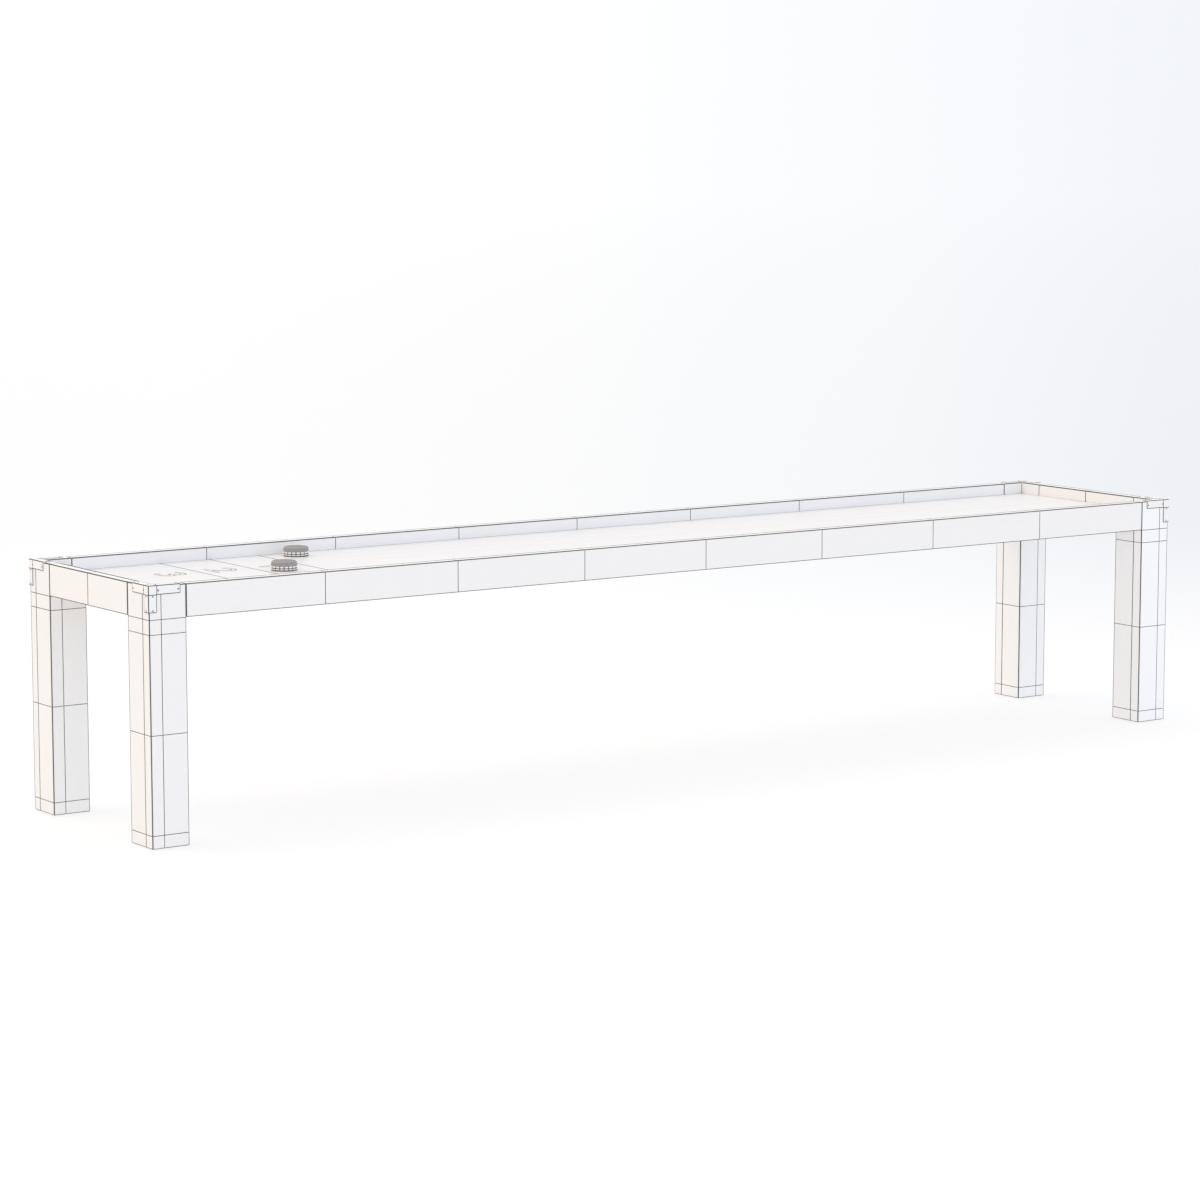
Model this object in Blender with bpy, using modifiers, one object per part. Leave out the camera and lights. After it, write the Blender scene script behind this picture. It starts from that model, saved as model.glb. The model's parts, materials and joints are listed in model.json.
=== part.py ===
"""Shuffleboard table: post-and-rail cabinet, wall-to-wall playfield, levelling feet and pucks.

Metres, +Z up. The origin is on the floor under the middle of the table. X runs along the
table, with the scoring zones at the -X end, and the front long side faces -Y.
"""
import math

import bmesh
import bpy

# Cabinet
TABLE_LENGTH = 4.267         # over the wooden end faces
TABLE_WIDTH = 0.817          # over the wooden side faces
TABLE_HEIGHT = 0.829         # floor to the top of the rails
WALL = 0.042                 # thickness of the rails and of the post staves
RAIL_HEIGHT = 0.105
POST_X = 0.131               # post size along the table
POST_Y = 0.142               # post size across the table
FOOT_TOP = 0.0447            # joint between a foot block and its post
FOOT_CLEARANCE = 0.003       # the foot blocks stand this far off the floor
EDGE_CHAMFER = 0.0015
GAP = 0.0003                 # between neighbouring pieces

# Playfield and what carries it
FIELD_DROP = 0.042           # from the rail tops down to the playing surface
FIELD_THICK = 0.032
CLEAT_WIDTH = 0.031
BEAM_WIDTH = 0.070
BEAM_PITCH = 0.900           # between the inner cross beams
INNER_BEAMS = 4

# Corner brackets, bent round the three faces of a corner
BRACKET_THICK = 0.0030
BRACKET_ARM_WIDTH = 0.0275   # this and the lengths are from the wood's corner
BRACKET_LENGTH_X = 0.110
BRACKET_LENGTH_Y = 0.103
BRACKET_DROP = 0.0835

# Levelling feet: M12 x 1.75, seen here screwed fully in
PAD_RADIUS = 0.030
PAD_THICK = 0.008
RECESS_RADIUS = 0.033
RECESS_TOP = 0.0125
STEM_RADIUS = 0.006
STEM_TOP = 0.0425
STEM_HEX_RADIUS = 0.011
STEM_HEX_HEIGHT = 0.0035
INSERT_RADIUS = 0.010

# Climatic adjusters, which bow the playfield up or down
ADJUSTER_X = 0.900
ADJUSTER_ANGLE_Y = 0.110     # the upright leg of each steel angle
ANGLE_LENGTH = 0.080
ANGLE_FOOT = 0.030
ANGLE_DEPTH = 0.028
ANGLE_THICK = 0.004
ROD_RADIUS = 0.006
ROD_HALF_LENGTH = 0.130
ROD_BELOW_FIELD = 0.017
TURN_HEX_RADIUS = 0.0115
TURN_HEX_HALF = 0.018

# Pucks
PUCK_RADIUS = 0.0437
PUCK_WEIGHT_HEIGHT = 0.0170
PUCK_CAP_HEIGHT = 0.0135
PUCK_CAP_TOP_RADIUS = 0.0408
PUCK_SPIGOT_RADIUS = 0.026
PUCK_SPIGOT_DEPTH = 0.004
PUCK_PLACES = {"front_puck": (-1.4245, -0.0150), "rear_puck": (-1.2012, 0.2915)}

FIELD_TOP = TABLE_HEIGHT - FIELD_DROP
FIELD_UNDER = FIELD_TOP - FIELD_THICK
RAIL_UNDER = TABLE_HEIGHT - RAIL_HEIGHT
HALF_LENGTH = TABLE_LENGTH / 2
HALF_WIDTH = TABLE_WIDTH / 2
POST_INNER_X = HALF_LENGTH - POST_X
POST_INNER_Y = HALF_WIDTH - POST_Y
INNER_X = HALF_LENGTH - WALL
INNER_Y = HALF_WIDTH - WALL

CORNERS = {
    "front_left": (-1, -1),
    "front_right": (1, -1),
    "back_left": (-1, 1),
    "back_right": (1, 1),
}


# ---------------------------------------------------------------- helpers

def clear_scene():
    for old in list(bpy.data.objects):
        bpy.data.objects.remove(old, do_unlink=True)
    for old in list(bpy.data.collections):
        bpy.data.collections.remove(old)


def new_collection(name):
    collection = bpy.data.collections.new(name)
    bpy.context.scene.collection.children.link(collection)
    return collection


def finish_material(name, colour, roughness, metallic=0.0):
    """A Principled material in one object's own name."""
    made = bpy.data.materials.new(name)
    made.use_nodes = True
    shader = made.node_tree.nodes["Principled BSDF"]
    shader.inputs["Base Color"].default_value = (*colour, 1.0)
    shader.inputs["Roughness"].default_value = roughness
    shader.inputs["Metallic"].default_value = metallic
    return made


def white_paint(name):
    return finish_material(name, (0.86, 0.85, 0.83), 0.45)


def playing_surface(name):
    return finish_material(name, (0.88, 0.86, 0.83), 0.18)


def bare_timber(name):
    return finish_material(name, (0.74, 0.64, 0.49), 0.60)


def light_steel(name):
    return finish_material(name, (0.80, 0.80, 0.80), 0.35, 0.6)


def grey_steel(name):
    return finish_material(name, (0.42, 0.42, 0.42), 0.35, 0.9)


def grey_plastic(name):
    return finish_material(name, (0.33, 0.33, 0.33), 0.40)


def add_part(name, mesh, finish, place=(0, 0, 0), parent=None, collection=None):
    """Links a mesh as one named object of the model, placed under its parent."""
    made = bpy.data.objects.new(name, mesh)
    (collection or MODEL).objects.link(made)
    if finish:
        made.data.materials.append(finish(name))
    made.location = place
    made.parent = parent
    return made


def box_mesh(name, size):
    """A box primitive of that size about its own centre."""
    work = bmesh.new()
    bmesh.ops.create_cube(work, size=1)
    bmesh.ops.scale(work, vec=size, verts=work.verts)
    mesh = bpy.data.meshes.new(name)
    work.to_mesh(mesh)
    work.free()
    return mesh


def prism_mesh(name, radius, height, sides):
    """A round or many-sided bar along Z about its own centre."""
    work = bmesh.new()
    bmesh.ops.create_cone(
        work, cap_ends=True, segments=sides, radius1=radius, radius2=radius, depth=height)
    mesh = bpy.data.meshes.new(name)
    work.to_mesh(mesh)
    work.free()
    return mesh


def chamfer(part, width=EDGE_CHAMFER):
    modifier = part.modifiers.new("chamfer", "BEVEL")
    modifier.width = width
    modifier.segments = 1
    modifier.limit_method = "ANGLE"


def block(name, low, high, finish, chamfered=True):
    """A sawn piece of timber between two opposite corners, with its edges eased."""
    size = [b - a for a, b in zip(low, high)]
    centre = [(a + b) / 2 for a, b in zip(low, high)]
    part = add_part(name, box_mesh(name, size), finish, centre)
    if chamfered:
        chamfer(part)
    return part


def turned_mesh(name, profile):
    """An open profile of (radius, height) points, ready for turning round Z."""
    mesh = bpy.data.meshes.new(name)
    points = [(radius, 0.0, height) for radius, height in profile]
    mesh.from_pydata(points, [(i, i + 1) for i in range(len(points) - 1)], [])
    return mesh


def turn(part, steps):
    modifier = part.modifiers.new("turn", "SCREW")
    modifier.steps = steps
    modifier.render_steps = steps
    modifier.use_merge_vertices = True
    modifier.merge_threshold = 0.00001
    modifier.use_smooth_shade = True


def turned_part(name, profile, finish, place, steps, parent=None):
    part = add_part(name, turned_mesh(name, profile), finish, place, parent)
    turn(part, steps)
    return part


def cutter(name, mesh, place, rotation=(0, 0, 0), parent=None):
    """A tool for a Boolean, which isn't part of the table."""
    tool = add_part(name, mesh, None, place, parent, collection=CUTTERS)
    tool.rotation_euler = rotation
    tool.hide_render = True
    tool.display_type = "WIRE"
    return tool


def combine(part, tool, operation):
    modifier = part.modifiers.new(tool.name, "BOOLEAN")
    modifier.operation = operation
    modifier.object = tool
    modifier.solver = "EXACT"


# ---------------------------------------------------------------- cabinet

def make_rails():
    """Four rails between the posts, flush with the posts' outer faces and tops."""
    for name, side in (("front_rail", -1), ("back_rail", 1)):
        outer, inner = side * HALF_WIDTH, side * INNER_Y
        reach = POST_INNER_X - GAP
        block(name, (-reach, min(outer, inner), RAIL_UNDER),
              (reach, max(outer, inner), TABLE_HEIGHT), white_paint)
    for name, side in (("scoring_end_rail", -1), ("far_end_rail", 1)):
        outer, inner = side * HALF_LENGTH, side * INNER_X
        reach = POST_INNER_Y - GAP
        block(name, (min(outer, inner), -reach, RAIL_UNDER),
              (max(outer, inner), reach, TABLE_HEIGHT), white_paint)


def corner_block(name, corner, span_x, span_y, span_z, finish, chamfered=True):
    """A block whose X and Y spans are measured inwards from a corner of the table."""
    side_x, side_y = corner
    xs = sorted(side_x * (HALF_LENGTH - depth) for depth in span_x)
    ys = sorted(side_y * (HALF_WIDTH - depth) for depth in span_y)
    low = (xs[0], ys[0], span_z[0])
    high = (xs[1], ys[1], span_z[1])
    return block(name, low, high, finish, chamfered)


def make_post(where, corner):
    """A built-up post: corner stile, two face staves and a core that carries the playfield."""
    tall = (FOOT_TOP + GAP, TABLE_HEIGHT)
    short = (FOOT_TOP + GAP, FIELD_UNDER - GAP)
    outer = (0, WALL)
    across_x = (WALL + GAP, POST_X)
    across_y = (WALL + GAP, POST_Y)
    corner_block(f"{where}_post_stile", corner, outer, outer, tall, white_paint)
    corner_block(f"{where}_post_side_stave", corner, across_x, outer, tall, white_paint)
    corner_block(f"{where}_post_end_stave", corner, outer, across_y, tall, white_paint)
    corner_block(f"{where}_post_core", corner, across_x, across_y, short, white_paint)


def make_foot(where, corner):
    """Foot block with a stepped bore, and the levelling foot that screws into it."""
    side_x, side_y = corner
    centre_x = side_x * (HALF_LENGTH - POST_X / 2)
    centre_y = side_y * (HALF_WIDTH - POST_Y / 2)
    foot = corner_block(f"{where}_foot_block", corner, (0, POST_X), (0, POST_Y),
                        (FOOT_CLEARANCE, FOOT_TOP), white_paint)
    bore_profile = [
        (0, FOOT_TOP + 0.01),
        (INSERT_RADIUS + GAP, FOOT_TOP + 0.01),
        (INSERT_RADIUS + GAP, RECESS_TOP),
        (RECESS_RADIUS, RECESS_TOP),
        (RECESS_RADIUS, -0.01),
        (0, -0.01),
    ]
    bore = cutter(f"{where}_foot_bore", turned_mesh(f"{where}_foot_bore", bore_profile),
                  (centre_x, centre_y, 0))
    turn(bore, 32)
    combine(foot, bore, "DIFFERENCE")

    insert_low, insert_high = RECESS_TOP + GAP, STEM_TOP - 0.001
    wall = (STEM_RADIUS + GAP, INSERT_RADIUS)
    insert_profile = [
        (wall[0], insert_high),
        (wall[1], insert_high),
        (wall[1], insert_low),
        (wall[0], insert_low),
        (wall[0], insert_high),
    ]
    turned_part(f"{where}_leveler_insert", insert_profile, light_steel,
                (centre_x, centre_y, 0), 24)

    pad_profile = [
        (0, PAD_THICK),
        (STEM_HEX_RADIUS, PAD_THICK),
        (PAD_RADIUS - 0.004, PAD_THICK - 0.002),
        (PAD_RADIUS, PAD_THICK - 0.004),
        (PAD_RADIUS, 0.0015),
        (PAD_RADIUS - 0.0015, 0),
        (0, 0),
    ]
    pad = turned_part(f"{where}_leveler_pad", pad_profile, grey_plastic,
                      (centre_x, centre_y, 0), 32)

    hex_low = PAD_THICK + GAP
    stem = add_part(
        f"{where}_leveler_stem",
        prism_mesh(f"{where}_leveler_stem", STEM_HEX_RADIUS, STEM_HEX_HEIGHT, 6),
        light_steel, (0, 0, hex_low + STEM_HEX_HEIGHT / 2), pad)
    shank_low = hex_low + STEM_HEX_HEIGHT / 2
    shank = cutter(
        f"{where}_leveler_shank",
        prism_mesh(f"{where}_leveler_shank", STEM_RADIUS, STEM_TOP - shank_low, 24),
        (0, 0, (STEM_TOP + shank_low) / 2), parent=pad)
    combine(stem, shank, "UNION")


def bracket_surface(name, corner):
    """The bracket's inner surface: three faces of a cube's corner, trimmed to L-shaped arms."""
    side_x, side_y = corner
    work = bmesh.new()
    bmesh.ops.create_cube(work, size=1)
    bmesh.ops.translate(work, vec=(0.5, 0.5, -0.5), verts=work.verts)
    size = (BRACKET_LENGTH_X, BRACKET_LENGTH_Y, BRACKET_DROP)
    bmesh.ops.scale(work, vec=size, verts=work.verts)

    def at_far_side(face):
        middle = face.calc_center_median()
        return (middle.x > 0.9 * BRACKET_LENGTH_X or middle.y > 0.9 * BRACKET_LENGTH_Y
                or middle.z < -0.9 * BRACKET_DROP)

    far_faces = [face for face in work.faces if at_far_side(face)]
    bmesh.ops.delete(work, geom=far_faces, context="FACES")
    cuts = (
        ((BRACKET_ARM_WIDTH, 0, 0), (1, 0, 0)),
        ((0, BRACKET_ARM_WIDTH, 0), (0, 1, 0)),
        ((0, 0, -BRACKET_ARM_WIDTH), (0, 0, 1)),
    )
    for point, normal in cuts:
        everything = work.verts[:] + work.edges[:] + work.faces[:]
        bmesh.ops.bisect_plane(work, geom=everything, plane_co=point, plane_no=normal)

    def outside_arms(face):
        middle = face.calc_center_median()
        beyond = (
            middle.x > BRACKET_ARM_WIDTH,
            middle.y > BRACKET_ARM_WIDTH,
            middle.z < -BRACKET_ARM_WIDTH,
        )
        return sum(beyond) > 1

    unwanted = [face for face in work.faces if outside_arms(face)]
    bmesh.ops.delete(work, geom=unwanted, context="FACES")
    bmesh.ops.dissolve_limit(
        work, angle_limit=0.01, verts=work.verts, edges=work.edges)
    bmesh.ops.scale(work, vec=(-side_x, -side_y, 1), verts=work.verts)
    if side_x * side_y < 0:
        bmesh.ops.reverse_faces(work, faces=work.faces)
    mesh = bpy.data.meshes.new(name)
    work.to_mesh(mesh)
    work.free()
    return mesh


def make_bracket(where, corner):
    side_x, side_y = corner
    name = f"{where}_corner_bracket"
    place = (side_x * (HALF_LENGTH + GAP), side_y * (HALF_WIDTH + GAP), TABLE_HEIGHT + GAP)
    bracket = add_part(name, bracket_surface(name, corner), light_steel, place)
    plate = bracket.modifiers.new("plate", "SOLIDIFY")
    plate.thickness = BRACKET_THICK
    plate.offset = 1
    plate.use_even_offset = True


# ---------------------------------------------------------------- playfield

def make_playfield():
    reach_x, reach_y = INNER_X - GAP, INNER_Y - GAP
    block("playfield", (-reach_x, -reach_y, FIELD_UNDER), (reach_x, reach_y, FIELD_TOP),
          playing_surface, chamfered=False)


def make_subframe():
    """Cleats along the rails and cross beams between them, level under the playfield."""
    top = FIELD_UNDER - GAP
    cleat_outer = INNER_Y - GAP
    cleat_inner = cleat_outer - CLEAT_WIDTH
    reach = POST_INNER_X - GAP
    block("front_cleat", (-reach, -cleat_outer, RAIL_UNDER), (reach, -cleat_inner, top),
          bare_timber)
    block("back_cleat", (-reach, cleat_inner, RAIL_UNDER), (reach, cleat_outer, top),
          bare_timber)

    beam_reach = cleat_inner - GAP
    first = -BEAM_PITCH * (INNER_BEAMS - 1) / 2
    for index in range(INNER_BEAMS):
        middle = first + index * BEAM_PITCH
        block(f"cross_beam_{index + 1}", (middle - BEAM_WIDTH / 2, -beam_reach, RAIL_UNDER),
              (middle + BEAM_WIDTH / 2, beam_reach, top), bare_timber)

    end_outer = INNER_X - GAP
    end_inner = end_outer - BEAM_WIDTH
    end_reach = POST_INNER_Y - GAP
    block("scoring_end_beam", (-end_outer, -end_reach, RAIL_UNDER),
          (-end_inner, end_reach, top), bare_timber)
    block("far_end_beam", (end_inner, -end_reach, RAIL_UNDER),
          (end_outer, end_reach, top), bare_timber)


def angle_surface(name, side):
    """Two faces at right angles: a foot against the playfield and a leg hanging down."""
    half = ANGLE_LENGTH / 2
    work = bmesh.new()
    bmesh.ops.create_grid(work, x_segments=1, y_segments=1, size=1)
    bmesh.ops.scale(work, vec=(half, ANGLE_FOOT / 2, 1), verts=work.verts)
    bmesh.ops.translate(work, vec=(0, side * ANGLE_FOOT / 2, 0), verts=work.verts)
    fold = [edge for edge in work.edges
            if all(abs(vert.co.y) < 1e-6 for vert in edge.verts)]
    hanging = bmesh.ops.extrude_edge_only(work, edges=fold)["geom"]
    moved = [item for item in hanging if isinstance(item, bmesh.types.BMVert)]
    bmesh.ops.translate(work, vec=(0, 0, -ANGLE_DEPTH), verts=moved)
    bmesh.ops.recalc_face_normals(work, faces=work.faces)
    mesh = bpy.data.meshes.new(name)
    work.to_mesh(mesh)
    work.free()
    return mesh


def make_adjuster(where, x):
    """Two steel angles under the playfield, drawn together or apart by one threaded rod."""
    rod_z = FIELD_UNDER - ROD_BELOW_FIELD
    for label, side in (("front", -1), ("back", 1)):
        name = f"{where}_adjuster_{label}_angle"
        angle = add_part(name, angle_surface(name, side), light_steel,
                         (x, side * ADJUSTER_ANGLE_Y, FIELD_UNDER - GAP - ANGLE_THICK / 2))
        plate = angle.modifiers.new("plate", "SOLIDIFY")
        plate.thickness = ANGLE_THICK
        plate.offset = 0
        plate.use_even_offset = True
        hole = cutter(f"{name}_hole", prism_mesh(f"{name}_hole", ROD_RADIUS + GAP, 0.03, 24),
                      (x, side * ADJUSTER_ANGLE_Y, rod_z), (math.pi / 2, 0, 0))
        combine(angle, hole, "DIFFERENCE")

    name = f"{where}_adjuster_rod"
    rod = add_part(name, prism_mesh(name, ROD_RADIUS, 2 * ROD_HALF_LENGTH, 24), light_steel,
                   (x, 0, rod_z))
    rod.rotation_euler = (math.pi / 2, 0, 0)
    collar = cutter(f"{name}_collar", prism_mesh(f"{name}_collar", TURN_HEX_RADIUS,
                                                 2 * TURN_HEX_HALF, 6),
                    (x, 0, rod_z), (math.pi / 2, 0, 0))
    combine(rod, collar, "UNION")


# ---------------------------------------------------------------- pucks

def make_puck(name, place):
    """A steel weight with a socket in its top, and a tapered cap that plugs into it."""
    rim = 0.0008
    socket = PUCK_SPIGOT_RADIUS + GAP
    socket_floor = PUCK_WEIGHT_HEIGHT - PUCK_SPIGOT_DEPTH - GAP
    weight_profile = [
        (0, socket_floor),
        (socket, socket_floor),
        (socket, PUCK_WEIGHT_HEIGHT),
        (PUCK_RADIUS - rim, PUCK_WEIGHT_HEIGHT),
        (PUCK_RADIUS, PUCK_WEIGHT_HEIGHT - rim),
        (PUCK_RADIUS, rim),
        (PUCK_RADIUS - rim, 0),
        (0, 0),
    ]
    weight = turned_part(f"{name}_weight", weight_profile, grey_steel,
                         (*place, FIELD_TOP + GAP), 40)
    cap_low = GAP
    cap_high = GAP + PUCK_CAP_HEIGHT
    cap_profile = [
        (0, cap_high - 0.0010),
        (PUCK_CAP_TOP_RADIUS - 0.007, cap_high - 0.0010),
        (PUCK_CAP_TOP_RADIUS - 0.005, cap_high),
        (PUCK_CAP_TOP_RADIUS - 0.002, cap_high),
        (PUCK_CAP_TOP_RADIUS, cap_high - 0.002),
        (PUCK_RADIUS - rim, cap_low),
        (PUCK_SPIGOT_RADIUS, cap_low),
        (PUCK_SPIGOT_RADIUS, cap_low - PUCK_SPIGOT_DEPTH),
        (0, cap_low - PUCK_SPIGOT_DEPTH),
    ]
    turned_part(f"{name}_cap", cap_profile, grey_plastic,
                (0, 0, PUCK_WEIGHT_HEIGHT), 40, weight)


# ---------------------------------------------------------------- the whole table

clear_scene()
MODEL = new_collection("shuffleboard_table")
CUTTERS = new_collection("cutters")

make_rails()
for corner_name, corner_signs in CORNERS.items():
    make_post(corner_name, corner_signs)
    make_foot(corner_name, corner_signs)
    make_bracket(corner_name, corner_signs)
make_playfield()
make_subframe()
make_adjuster("left", -ADJUSTER_X)
make_adjuster("right", ADJUSTER_X)
for puck_name, puck_place in PUCK_PLACES.items():
    make_puck(puck_name, puck_place)
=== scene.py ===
"""Looks of the shuffleboard table: painted boards, playfield, brackets, pucks and feet.

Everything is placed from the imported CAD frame, in metres, +Z up, with the floor at Z = 0.
A piece that stands for a CAD node carries the node's name with "_look" after it.
"""
import json
import math

import bmesh
import bpy
from mathutils import Matrix, Vector


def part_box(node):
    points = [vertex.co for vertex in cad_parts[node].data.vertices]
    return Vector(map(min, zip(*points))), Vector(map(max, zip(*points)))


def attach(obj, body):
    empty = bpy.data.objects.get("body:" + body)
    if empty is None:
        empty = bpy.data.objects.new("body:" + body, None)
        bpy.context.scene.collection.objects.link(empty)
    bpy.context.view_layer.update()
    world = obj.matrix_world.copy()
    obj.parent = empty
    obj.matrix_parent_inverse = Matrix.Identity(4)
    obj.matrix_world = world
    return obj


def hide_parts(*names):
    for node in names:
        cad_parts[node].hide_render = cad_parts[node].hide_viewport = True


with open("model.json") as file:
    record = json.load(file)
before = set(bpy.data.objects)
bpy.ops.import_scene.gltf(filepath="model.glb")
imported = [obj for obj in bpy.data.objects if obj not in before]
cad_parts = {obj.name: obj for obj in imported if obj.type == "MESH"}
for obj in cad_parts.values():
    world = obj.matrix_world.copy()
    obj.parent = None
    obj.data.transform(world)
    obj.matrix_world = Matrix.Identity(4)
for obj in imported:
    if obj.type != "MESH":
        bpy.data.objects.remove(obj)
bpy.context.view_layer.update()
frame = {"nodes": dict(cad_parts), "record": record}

BODY_OF = {}
for body_name, body_nodes in frame["record"]["behaviour"]["bodies"].items():
    for node_name in body_nodes:
        BODY_OF[node_name] = body_name

# The table's main sizes, read from the frame
FRONT_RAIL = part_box("front_rail")
END_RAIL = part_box("scoring_end_rail")
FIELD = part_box("playfield")
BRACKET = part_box("front_left_corner_bracket")
TABLE_TOP = FRONT_RAIL[1].z
HALF_LENGTH = -END_RAIL[0].x
HALF_WIDTH = -FRONT_RAIL[0].y
WALL = FRONT_RAIL[1].y - FRONT_RAIL[0].y
FIELD_TOP = FIELD[1].z
INNER_Y = HALF_WIDTH - WALL
GAP = 0.0003  # what CAD leaves between neighbouring pieces

CORNERS = {
    "front_left": (-1, -1),
    "front_right": (1, -1),
    "back_left": (-1, 1),
    "back_right": (1, 1),
}

# Scribed lines and eased edges, which are stained grey. Half a line's width, or an edge's easing
RAIL_LINE = 0.0013  # across a long rail
END_RAIL_LINE = 0.0020
RING_LINE = 0.0011  # round a post
TRAY_LINE = 0.0002  # along the rails, where the playfield meets them
SIDE_JOINT = 0.0011  # glued joints that show on faces along the table's sides
END_JOINT = 0.0018  # and on faces that look along the table
RAIL_SEAM = 0.0022  # the rails' side of the joints between rails and posts
END_RAIL_SEAM = 0.0021
# Easing of each post's upright edges, along X and along Y: the outer corner, the corners
# beside the long rail and beside the end rail, and the corner under the table
POST_EASING = {
    "front_left": ((0.0030, 0.0030), (0.0036, 0.0042), (0.0030, 0.0062), (0.0034, 0.0042)),
    "front_right": ((0.0037, 0.0026), (0.0028, 0.0033), (0.0040, 0.0035), (0.0034, 0.0052)),
    "back_left": ((0.0026, 0.0060), (0.0036, 0.0042), (0.0025, 0.0042), (0.0036, 0.0044)),
    "back_right": ((0.0030, 0.0045), (0.0036, 0.0042), (0.0043, 0.0036), (0.0030, 0.0036)),
}
# Easing of the top edges: level, upright
LONG_OUTER_TOP = (0.0075, 0.0026)
LONG_INNER_TOP = (0.0085, 0.0030)
END_OUTER_TOP = (0.0065, 0.0023)
END_INNER_TOP = (0.0080, 0.0032)
FAR_TOP = (0.0110, 0.0007)  # on the edges that look to the back or away from the scores
UNDER_ROUND = 0.0026
END_UNDER_ROUND = 0.0031
HIDDEN_EASE = 0.0010
TIMBER_EASE = 0.0015  # on the cleats and beams
RAIL_PARTS = 8  # each long rail is scribed into this many equal lengths
POST_LINES = (0.7235, 0.6768, 0.3608)  # heights of the lines scribed round each post
ARC_STEPS = 4  # of each rounded edge
SHARP_ANGLE = 38.0  # degrees; a steeper edge is shaded as sharp

# Zones and numerals on the playfield
ZONE_LINES = (-1.679, -1.492, -1.305)
ZONE_LINE_WIDTH = 0.0045
ZONE_LINE_CLEAR = 0.001  # between a zone line's end and the rail
FIELD_EASE = 0.0008  # round the playfield's top
NUMERALS = (("3", -1.780), ("2", -1.590), ("1", -1.401))
NUMERAL_Y = 0.0995
NUMERAL_LENGTH = 0.099  # along the table
NUMERAL_WIDTH = 0.077  # across the table, for the numeral 3
NUMERAL_LINE = 0.0014  # half the width of the drawn outline
INLAY_PROUD = 0.00015
INLAY_DEEP = 0.0006
STRIP_WIDTH = 0.0455  # of the maple strips that the playfield is glued up from

# Where the bracket screws are, from the corner of the wood
SCREWS_ALONG_X = (0.032, 0.102)
SCREWS_ALONG_Y = (0.029, 0.095)
SCREWS_DOWN = (0.032, 0.077)
SCREW_INSET = 0.0140  # from the arm's outer edge, on the two level arms
SCREW_INSET_UPRIGHT = 0.0125
SCREW_HEAD_RADIUS = 0.0028
SUBFRAME_SCREW_RADIUS = 0.0042
ADJUSTER_SCREW_RADIUS = 0.0040
SCREW_SUNK = 0.0004  # how far a screw head reaches into what it holds
CLEAT_SCREWS = 14
BEAM_SCREW_IN = (0.018, 0.025)  # from a beam's side and from its end
ANGLE_SCREW_IN = 0.014  # from the end of a steel angle

PUCK_PADS = 18  # grip pads in each of the two rows
PAD_HALF = 0.37  # half a pad's width, as a share of the distance between pads
PAD_ROWS = ((0.0038, 0.0074), (0.0102, 0.0158))
PUCK_GROOVE_DEEP = 0.0016
SOCKET_RADIUS, SOCKET_DEEP = 0.0263, 0.0043  # of the socket for the cap
CAP_TOP_RADIUS = 0.0408
CAP_RIBS = 54
CAP_FLARE = 0.0007  # how far the cap's lip stands out over the weight
CAP_RIB_DEPTH = 0.045  # as a share of the cap's radius


# ---- materials

NOISE_LOW, NOISE_HIGH = 0.3, 0.7  # a noise stays mostly between these


def set_inputs(tree, node, inputs):
    """Gives a node's inputs values, or links them to other nodes' sockets."""
    for key, value in inputs.items():
        if isinstance(value, bpy.types.NodeSocket):
            tree.links.new(value, node.inputs[key])
        else:
            node.inputs[key].default_value = value


def add_node(tree, kind, inputs=None, **settings):
    node = tree.nodes.new(f"ShaderNode{kind}")
    for key, value in settings.items():
        setattr(node, key, value)
    set_inputs(tree, node, inputs or {})
    return node


def new_material(name):
    """A material, its node tree, its shader and the piece's own coordinates."""
    material = bpy.data.materials.new(name)
    material.use_nodes = True
    tree = material.node_tree
    coords = add_node(tree, "TexCoord").outputs["Object"]
    return material, tree, tree.nodes["Principled BSDF"], coords


def noise(tree, coords, stretch, scale, detail=4.0, roughness=0.6):
    """Noise in the piece's own coordinates, stretched along each axis."""
    spread = add_node(tree, "Mapping", {"Vector": coords, "Scale": stretch})
    made = add_node(tree, "TexNoise", {"Vector": spread.outputs["Vector"], "Scale": scale,
                                       "Detail": detail, "Roughness": roughness})
    return made.outputs["Fac"]


def ramp(tree, factor, stops):
    """A colour ramp through (position, colour) stops."""
    made = add_node(tree, "ValToRGB", {"Fac": factor})
    elements = made.color_ramp.elements
    elements[0].position, elements[0].color = stops[0][0], (*stops[0][1], 1)
    elements[1].position, elements[1].color = stops[-1][0], (*stops[-1][1], 1)
    for position, colour in stops[1:-1]:
        elements.new(position).color = (*colour, 1)
    return made.outputs["Color"]


def noise_ramp(tree, factor, low, high):
    """A colour between low and high, over the middle of a noise's range."""
    return ramp(tree, factor, ((NOISE_LOW, low), (NOISE_HIGH, high)))


def level(tree, factor, low=0.0, high=1.0, start=NOISE_LOW, end=NOISE_HIGH, **settings):
    """A number between low and high as the factor goes from start to end."""
    made = add_node(tree, "MapRange", {"Value": factor, "From Min": start, "From Max": end,
                                       "To Min": low, "To Max": high}, **settings)
    return made.outputs["Result"]


def multiplied(tree, first, second):
    """The product of two colours, each a socket or a value."""
    made = add_node(tree, "Mix", {0: 1.0, 6: first, 7: second},
                    data_type="RGBA", blend_type="MULTIPLY")
    return made.outputs[2]


def relief(tree, height, strength, distance):
    made = add_node(tree, "Bump", {"Height": height, "Strength": strength,
                                   "Distance": distance})
    return made.outputs["Normal"]


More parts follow.
